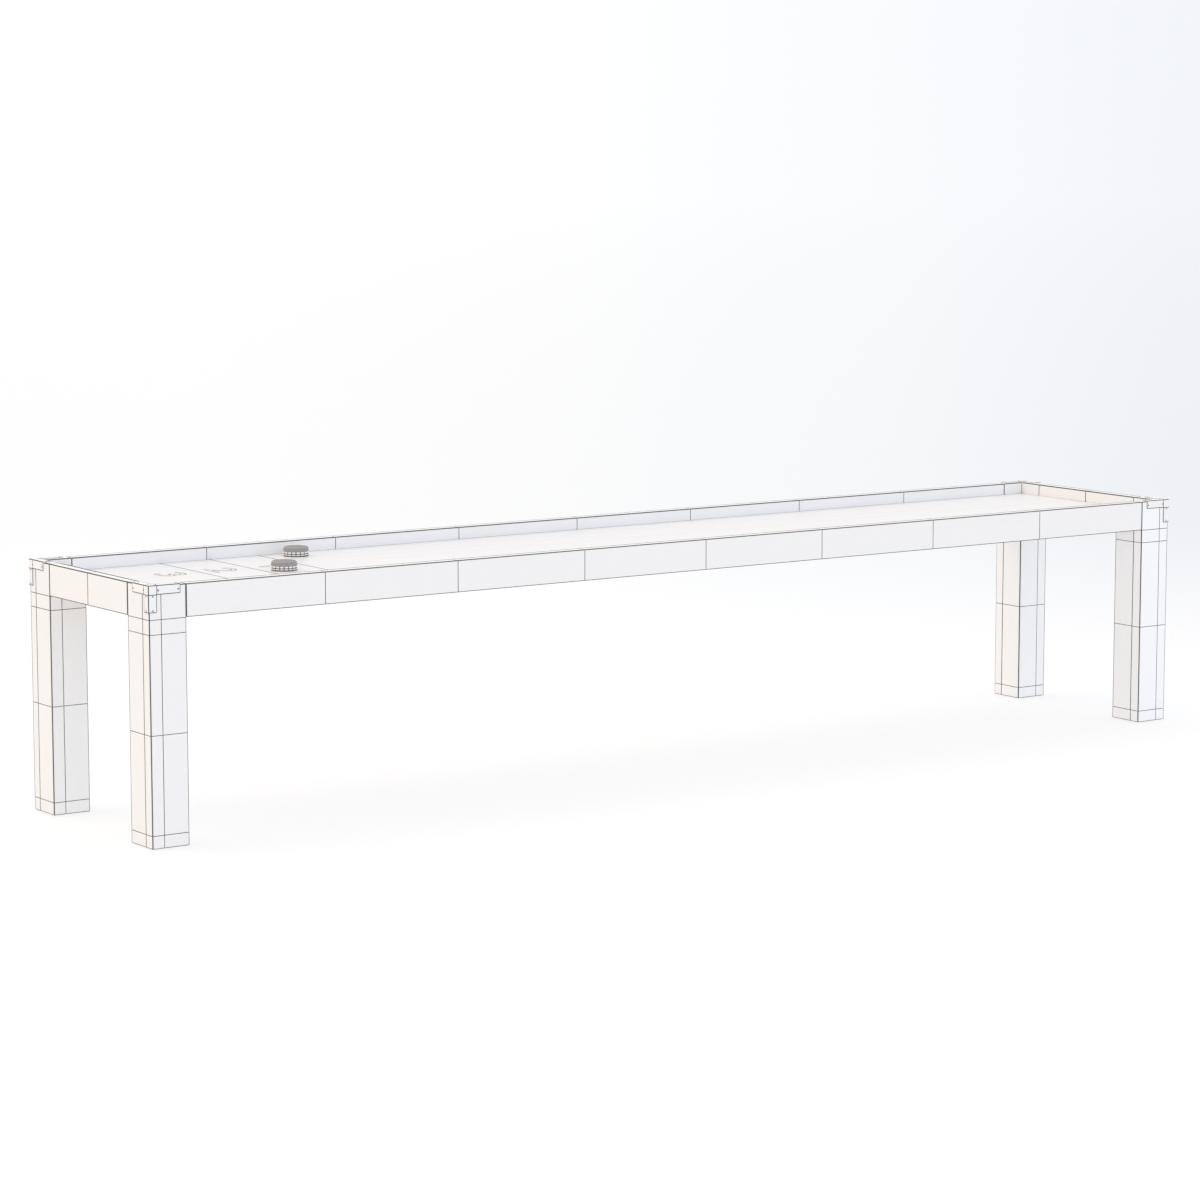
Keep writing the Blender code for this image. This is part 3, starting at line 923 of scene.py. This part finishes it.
def make_brackets():
    pattern, thick = bracket_mesh()
    screws = bmesh.new()
    forwards, endwards, upwards = (0, -1, 0), (-1, 0, 0), (0, 0, 1)
    for along_x in SCREWS_ALONG_X:
        add_screw(screws, (along_x, -thick, -SCREW_INSET), forwards)
        add_screw(screws, (along_x, SCREW_INSET, thick), upwards)
    for along_y in SCREWS_ALONG_Y:
        add_screw(screws, (-thick, along_y, -SCREW_INSET), endwards)
        add_screw(screws, (SCREW_INSET, along_y, thick), upwards)
    for down in SCREWS_DOWN:
        add_screw(screws, (SCREW_INSET_UPRIGHT, -thick, -down), forwards)
        add_screw(screws, (-thick, SCREW_INSET_UPRIGHT, -down), endwards)
    screws = mesh_from(screws, "bracket_screws")
    for where, corner in CORNERS.items():
        stand_for(f"{where}_corner_bracket", mirrored(pattern, corner),
                  [BRACKET_METAL, SHADOW_LINE])
        add_piece(f"{where}_bracket_screws", mirrored(screws, corner), [SCREW_STEEL], "table")


# ---- playfield

def unlined(mesh):
    """A board whose eased edges aren't stained."""
    for face in mesh.polygons:
        face.material_index = 0
    return mesh


def make_playfield():
    rounds = {(side, "+z"): FIELD_EASE for side in ("-y", "+y")}
    edge = {"+z": FIELD_EASE}
    mesh = board_mesh("playfield", *FIELD, 0, rounds, {"low": edge, "high": edge})
    stand_for("playfield", unlined(mesh), [PLAYING_SURFACE])
    half = ZONE_LINE_WIDTH / 2
    reach = INNER_Y - ZONE_LINE_CLEAR
    for index, place in enumerate(ZONE_LINES):
        line = unlined(board_mesh("zone_line", (place - half, -reach, FIELD_TOP - INLAY_DEEP),
                                  (place + half, reach, FIELD_TOP + INLAY_PROUD), 1,
                                  usual=0.0001))
        add_piece(f"zone_line_{index + 1}", line, [INK], "table")


def numeral_outline(text):
    """The outline of a numeral as a round bead, flat on Z = 0, about its own middle."""
    curve = bpy.data.curves.new("numeral", "FONT")
    curve.body = text
    curve.size = NUMERAL_LENGTH
    curve.fill_mode = "NONE"
    curve.bevel_depth = NUMERAL_LINE
    curve.bevel_resolution = 1
    curve.resolution_u = 6
    mesh = evaluated_mesh(linked("numeral", curve), f"numeral_{text}")
    xs = [vert.co.x for vert in mesh.vertices]
    ys = [vert.co.y for vert in mesh.vertices]
    mesh.transform(Matrix.Translation((-(min(xs) + max(xs)) / 2, -(min(ys) + max(ys)) / 2, 0)))
    return mesh, max(xs) - min(xs), max(ys) - min(ys)


def make_numerals():
    """Numerals read from the scoring end, so their tops point along +X."""
    _, usual_width, usual_height = numeral_outline("3")
    flat = INLAY_PROUD / NUMERAL_LINE
    scale = Matrix.Diagonal((NUMERAL_WIDTH / usual_width, NUMERAL_LENGTH / usual_height,
                             flat, 1))
    turn = Matrix.Rotation(-math.pi / 2, 4, "Z")
    for text, place in NUMERALS:
        mesh, _, _ = numeral_outline(text)
        mesh.transform(Matrix.Translation((place, NUMERAL_Y, FIELD_TOP)) @ turn @ scale)
        add_piece(f"numeral_{text}", mesh, [INK], "table", weighted=False)


# ---- what carries the playfield

def make_subframe():
    """Cleats and cross beams in bare timber, with the screws that hold them."""
    screws = bmesh.new()
    for node in ("front_cleat", "back_cleat"):
        low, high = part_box(node)
        stand_for(node, board_mesh(node, low, high, 0, usual=TIMBER_EASE), [TIMBER[0]] * 2)
        sign = 1 if low.y < 0 else -1
        face = high.y if sign > 0 else low.y
        for index in range(CLEAT_SCREWS):
            x = low.x + (high.x - low.x) * (index + 0.5) / CLEAT_SCREWS
            add_screw(screws, (x, face, (low.z + high.z) / 2), (0, sign, 0),
                      SUBFRAME_SCREW_RADIUS)
    beams = [f"cross_beam_{index}" for index in (1, 2, 3, 4)]
    for node in beams + ["scoring_end_beam", "far_end_beam"]:
        low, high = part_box(node)
        stand_for(node, board_mesh(node, low, high, 1, usual=TIMBER_EASE), [TIMBER[1]] * 2)
        for y in (low.y + BEAM_SCREW_IN[1], high.y - BEAM_SCREW_IN[1]):
            for x in (low.x + BEAM_SCREW_IN[0], high.x - BEAM_SCREW_IN[0]):
                add_screw(screws, (x, y, low.z), (0, 0, -1), SUBFRAME_SCREW_RADIUS)
    add_piece("subframe_screws", mesh_from(screws, "subframe_screws"), [ZINC], "table")


# ---- climatic adjusters

ANGLE_THICK = 0.004
ANGLE_BEND = 0.004  # inside the steel angle's bend
ANGLE_CORNER = 0.006
ANGLE_EASE = 0.0004
COLLAR_HALF = 0.018  # of the rod's hexagonal collar, along the rod


def angle_mesh(node):
    """A bent steel angle with rounded corners and a hole for the rod."""
    low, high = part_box(node)
    side = 1 if low.y + high.y > 0 else -1
    near, foot_y = (low.y, high.y) if side > 0 else (high.y, low.y)
    leg_y = near + side * ANGLE_THICK / 2
    top_z = high.z - ANGLE_THICK / 2
    bend = [(leg_y + side * ANGLE_BEND * (1 - sine), top_z - ANGLE_BEND * (1 - cosine))
            for sine, cosine in quarter_turn()]
    profile = [(foot_y, top_z), *bend, (leg_y, low.z)]
    work = bmesh.new()
    left, right = [[work.verts.new((x, y, z)) for y, z in profile] for x in (low.x, high.x)]
    for index in range(len(profile) - 1):
        work.faces.new((left[index], right[index], right[index + 1], left[index + 1]))
    bmesh.ops.bevel(work, geom=[left[0], right[0], left[-1], right[-1]],
                    offset=ANGLE_CORNER, segments=4, affect="VERTICES")
    plate, _ = plate_from(work, "angle", ANGLE_THICK, 0)
    easing = plate.modifiers.new("easing", "BEVEL")
    easing.width = ANGLE_EASE
    easing.segments = 2
    easing.limit_method = "ANGLE"
    easing.angle_limit = math.radians(STEEP_ANGLE)
    return evaluated_mesh(plate, node), leg_y, foot_y


def make_adjuster(where):
    """Two steel angles screwed under the playfield, and the threaded rod that spreads them."""
    rod_node = f"{where}_adjuster_rod"
    rod_low, rod_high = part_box(rod_node)
    centre = (rod_low + rod_high) / 2
    hole_radius = THREAD_RADIUS + GAP
    screws = bmesh.new()
    for label in ("front", "back"):
        node = f"{where}_adjuster_{label}_angle"
        mesh, leg_y, foot_y = angle_mesh(node)
        low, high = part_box(node)
        hole = bmesh.new()
        revolve(hole, [(0, -CUT_PAST), (hole_radius, -CUT_PAST),
                       (hole_radius, CUT_PAST), (0, CUT_PAST)], 32,
                facing((centre.x, leg_y, centre.z), (0, 1, 0)))
        mesh = cut_mesh(mesh, mesh_from(hole, "hole"))
        stand_for(node, smoothed(mesh), [ZINC])
        for x in (low.x + ANGLE_SCREW_IN, high.x - ANGLE_SCREW_IN):
            point = (x, (leg_y + 2 * foot_y) / 3, high.z - ANGLE_THICK)
            add_screw(screws, point, (0, 0, -1), ADJUSTER_SCREW_RADIUS)
    add_piece(f"{where}_adjuster_screws", mesh_from(screws, "adjuster_screws"), [SCREW_STEEL],
              "table")

    half = (rod_high.y - rod_low.y) / 2
    tip_radius = THREAD_RADIUS * 0.8
    rod = bmesh.new()
    revolve(rod, [
        (0, -half),
        (tip_radius, -half),
        *thread_rows(-half + THREAD_TIP, -COLLAR_HALF - 0.0004),
        *hexagon_rows((rod_high.z - rod_low.z) / 2, -COLLAR_HALF, COLLAR_HALF, 0.001),
        *thread_rows(COLLAR_HALF + 0.0004, half - THREAD_TIP),
        (tip_radius, half),
        (0, half),
    ], 24, facing(centre, (0, 1, 0)))
    stand_for(rod_node, mesh_from(rod, "rod", 50.0), [ZINC], weighted=False)


# ---- pucks

PAD_STEPS = 4  # faces across a grip pad
PAD_EASE = 0.0004


def grip_pad(work, centre, reach, angles, heights):
    """A curved pad on a puck's side, with eased edges."""
    inner, outer = reach

    def loop(radius, inset):
        first, last = angles[0] + inset / outer, angles[1] - inset / outer
        low, high = heights[0] + inset, heights[1] - inset
        spread = [first + (last - first) * index / PAD_STEPS for index in range(PAD_STEPS + 1)]
        points = [(angle, low) for angle in spread] + [(angle, high) for angle in spread[::-1]]
        return [work.verts.new(centre + polar(radius, angle, height))
                for angle, height in points]

    loops = [loop(inner, 0), loop(outer - PAD_EASE, 0), loop(outer, PAD_EASE)]
    for below, above in zip(loops, loops[1:]):
        bridge(work, below, above)
    front = loops[2]
    for index in range(PAD_STEPS):
        work.faces.new((front[index], front[index + 1], front[-2 - index], front[-1 - index]))


def make_puck(name):
    """A weight with two rows of grip pads, and a ribbed, tapered cap with a dished top."""
    low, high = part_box(f"{name}_weight")
    centre = Vector(((low.x + high.x) / 2, (low.y + high.y) / 2, low.z))
    here = Matrix.Translation(centre)
    radius = (high.x - low.x) / 2
    tall = high.z - low.z
    groove = radius - PUCK_GROOVE_DEEP
    socket_floor = tall - SOCKET_DEEP
    weight = bmesh.new()
    revolve(weight, [
        (0, 0.0006),
        (radius * 0.80, 0.0006),
        (radius * 0.84, 0),
        (radius - 0.0052, 0, plain, 1),
        (radius - 0.0028, 0.0008, plain, 1),
        (radius - 0.0011, 0.0020, plain, 1),
        (radius - 0.0003, 0.0032, plain, 1),
        (groove, 0.0037, plain, 1),
        (groove, PAD_ROWS[0][1], plain, 2),
        (groove, PAD_ROWS[1][0], plain, 1),
        (groove, tall - 0.0010, plain, 1),
        (groove - 0.0010, tall, plain, 1),
        (SOCKET_RADIUS, tall, plain, 1),
        (SOCKET_RADIUS, socket_floor, plain, 1),
        (0, socket_floor, plain, 1),
    ], 120, here)
    step = math.tau / PUCK_PADS
    for index in range(PUCK_PADS):
        middle = step * (index + 0.5)
        spread = (middle - PAD_HALF * step, middle + PAD_HALF * step)
        for heights in PAD_ROWS:
            grip_pad(weight, centre, (groove - 0.0005, radius), spread, heights)
    stand_for(f"{name}_weight", mesh_from(weight, "puck_weight"),
              [PUCK_STEEL, PUCK_GROOVE, SHADOW_LINE])

    cap_low, cap_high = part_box(f"{name}_cap")
    skirt = high.z + GAP - centre.z
    top = cap_high.z - centre.z
    spigot_bottom = cap_low.z - centre.z
    top_radius = CAP_TOP_RADIUS
    wide = (cap_high.x - cap_low.x) / 2 + CAP_FLARE
    ribs = ribbed(CAP_RIBS, CAP_RIB_DEPTH)

    def side_row(share, shape=ribs):
        return (wide + (top_radius - wide) * share, skirt + (top - skirt) * share, shape)

    cap = bmesh.new()
    rows = [
        (0, spigot_bottom),
        (0.0250, spigot_bottom),
        (0.0260, spigot_bottom + 0.0008),
        (0.0260, skirt),
        (wide - 0.0004, skirt),
        (wide, skirt + 0.0005),
        side_row(0.10, plain),
        side_row(0.12),
        side_row(0.50),
        side_row(0.80),
        side_row(0.83, plain),
        (top_radius - 0.0005, top - 0.0010),
        (top_radius - 0.0016, top - 0.0002, plain, 1),
        (top_radius - 0.0030, top, plain, 1),
        (top_radius - 0.0050, top - 0.0002, plain, 1),
        (top_radius - 0.0062, top - 0.0009, plain, 1),
    ]
    for ring in (0.80, 0.58, 0.36):
        outer_ring = (top_radius - 0.006) * ring
        rows += [
            (outer_ring + 0.0016, top - 0.0011, plain, 1),
            (outer_ring + 0.0008, top - 0.0015, plain, 1),
            (outer_ring, top - 0.0011, plain, 1),
        ]
    rows.append((0, top - 0.0012, plain, 1))
    revolve(cap, rows, 4 * CAP_RIBS, here)
    stand_for(f"{name}_cap", mesh_from(cap, "puck_cap"), [PUCK_CAP, PUCK_TOP])


# ---- camera, lights, floor

CAMERA_LENS = 113.76  # mm, on a sensor 36 mm wide
CAMERA_AT = (-9.1693, -12.9202, 2.8710)  # in table heights
CAMERA_YAW, CAMERA_PITCH = 34.8064, 7.8284


def make_camera():
    """A long lens well back from the table's front left corner, as high as a tall tripod."""
    data = bpy.data.cameras.new("camera")
    data.sensor_width = 36.0
    data.lens = CAMERA_LENS
    data.clip_end = 1000.0
    camera = linked("camera", data)
    camera.location = Vector(CAMERA_AT) * TABLE_TOP
    camera.rotation_euler = (math.radians(90 - CAMERA_PITCH), 0.0, -math.radians(CAMERA_YAW))
    bpy.context.scene.camera = camera


# The studio's light by direction along X, from 0 at -X to 1 at +X: warm, then white, then cool
STUDIO_STOPS = (
    (0.00, (0.88, 0.75, 0.63)),
    (0.25, (0.95, 0.875, 0.795)),
    (0.45, (1.03, 1.02, 1.01)),
    (0.74, (1.03, 1.03, 1.03)),
    (0.785, (1.00, 1.005, 1.01)),
    (0.802, (0.965, 0.982, 1.00)),
    (0.817, (0.950, 0.970, 0.990)),
    (0.845, (0.895, 0.915, 0.950)),
)
FRONT_LIGHT = (0.89, 0.95, 1.06)  # the light from the front, as a share of that from behind
TOP_LIGHT = 1.15  # the light from straight above, as a share of the horizon's
FLOOR_SIZE = 1200.0
FLOOR_LIGHT = (1.20, 1.16, 1.13)  # what the floor gets from the studio and the key light
FLOOR_RELIT = 0.40  # the share of its light that the floor reflects
# painted brightness near the table, above white, which washes out the table's shadow
FLOOR_NEAR = (1.06, 1.05, 1.05)
SWEEP_FROM = (-7.60, -10.71, 0.0)  # the floor's painted light, warm to cool like the studio's light, fans out from here
SWEEP_START, SWEEP_END = 13.0, 21.0  # distances between which the floor turns into the sweep
SWEEP_DIP, SWEEP_FAR = 24.0, 75.0  # between which the floor's painted light brightens again
SWEEP_LOW = 0.965
KEY_FROM = (-0.45, 0.45, 0.77)  # a large, warm key light, behind the scoring end
KEY_COLOUR = (1.0, 0.80, 0.62)
KEY_STRENGTH = 0.60
KEY_SPREAD = 50.0  # degrees across


def studio_colour(tree, sideways):
    return ramp(tree, level(tree, sideways, start=-1.0, end=1.0), STUDIO_STOPS)


def make_floor():
    """A pale floor with painted light: brightest near the table, it fades into the sweep.

    Its colour paints the studio light's falloff and tints. It reflects a part of its light and
    gives off the rest as a painted glow, which keeps the shadows soft.
    """
    bpy.ops.mesh.primitive_plane_add(size=FLOOR_SIZE, location=(0, 0, 0))
    floor = bpy.context.object
    floor.name = "floor"
    material, tree, shader, coords = new_material("floor")
    arm = add_node(tree, "VectorMath", {0: coords, 1: SWEEP_FROM},
                   operation="SUBTRACT").outputs["Vector"]
    distance = add_node(tree, "VectorMath", {0: arm}, operation="LENGTH").outputs["Value"]
    unit = add_node(tree, "VectorMath", {0: arm}, operation="NORMALIZE").outputs["Vector"]
    parts = add_node(tree, "SeparateXYZ", {"Vector": unit})
    rise = level(tree, distance, start=SWEEP_DIP, end=SWEEP_FAR)
    brightness = ramp(tree, rise, ((0.0, (SWEEP_LOW,) * 3), (1.0, (1.0, 1.0, 1.0))))
    # the far floor's colour paints the studio light's warm and cool tints
    far = multiplied(tree, studio_colour(tree, parts.outputs["X"]), brightness)
    share = level(tree, distance, start=SWEEP_START, end=SWEEP_END,
                  interpolation_type="SMOOTHSTEP")
    shade = add_node(tree, "Mix", {0: share, 6: (*FLOOR_NEAR, 1), 7: far},
                     data_type="RGBA").outputs[2]
    relit = (*[FLOOR_RELIT / light for light in FLOOR_LIGHT], 1)
    set_inputs(tree, shader, {
        "Base Color": multiplied(tree, shade, relit),
        "Emission Color": shade,
        "Emission Strength": 1 - FLOOR_RELIT,
        "Roughness": 0.9,
        "Specular IOR Level": 0.0,
    })
    floor.data.materials.append(material)


def make_world():
    """Even studio light, warmer from the scoring end and cooler from the front."""
    world = bpy.data.worlds.new("studio")
    bpy.context.scene.world = world
    world.use_nodes = True
    tree = world.node_tree
    direction = add_node(tree, "TexCoord").outputs["Generated"]
    parts = add_node(tree, "SeparateXYZ", {"Vector": direction}).outputs
    front = level(tree, parts["Y"], start=-1.0, end=0.0)
    front_colour = ramp(tree, front, ((0.0, FRONT_LIGHT), (1.0, (1, 1, 1))))
    top_colour = ramp(tree, parts["Z"], ((0.05, (1, 1, 1)), (1.0, (TOP_LIGHT,) * 3)))
    colour = multiplied(tree, studio_colour(tree, parts["X"]), front_colour)
    set_inputs(tree, tree.nodes["Background"], {
        "Color": multiplied(tree, colour, top_colour), "Strength": 1.0})


def make_key_light():
    data = bpy.data.lights.new("key", "SUN")
    data.energy = KEY_STRENGTH
    data.color = KEY_COLOUR
    data.angle = math.radians(KEY_SPREAD)
    linked("key", data).matrix_world = facing((0, 0, 4), KEY_FROM)


make_camera()
make_rails()
for corner_name, corner_signs in CORNERS.items():
    make_post(corner_name, corner_signs)
    make_foot(corner_name, corner_signs)
make_brackets()
make_playfield()
make_numerals()
make_subframe()
for adjuster_name in ("left", "right"):
    make_adjuster(adjuster_name)
for puck_name in ("front_puck", "rear_puck"):
    make_puck(puck_name)
make_floor()
make_world()
make_key_light()
bpy.context.scene.view_settings.view_transform = "Standard"
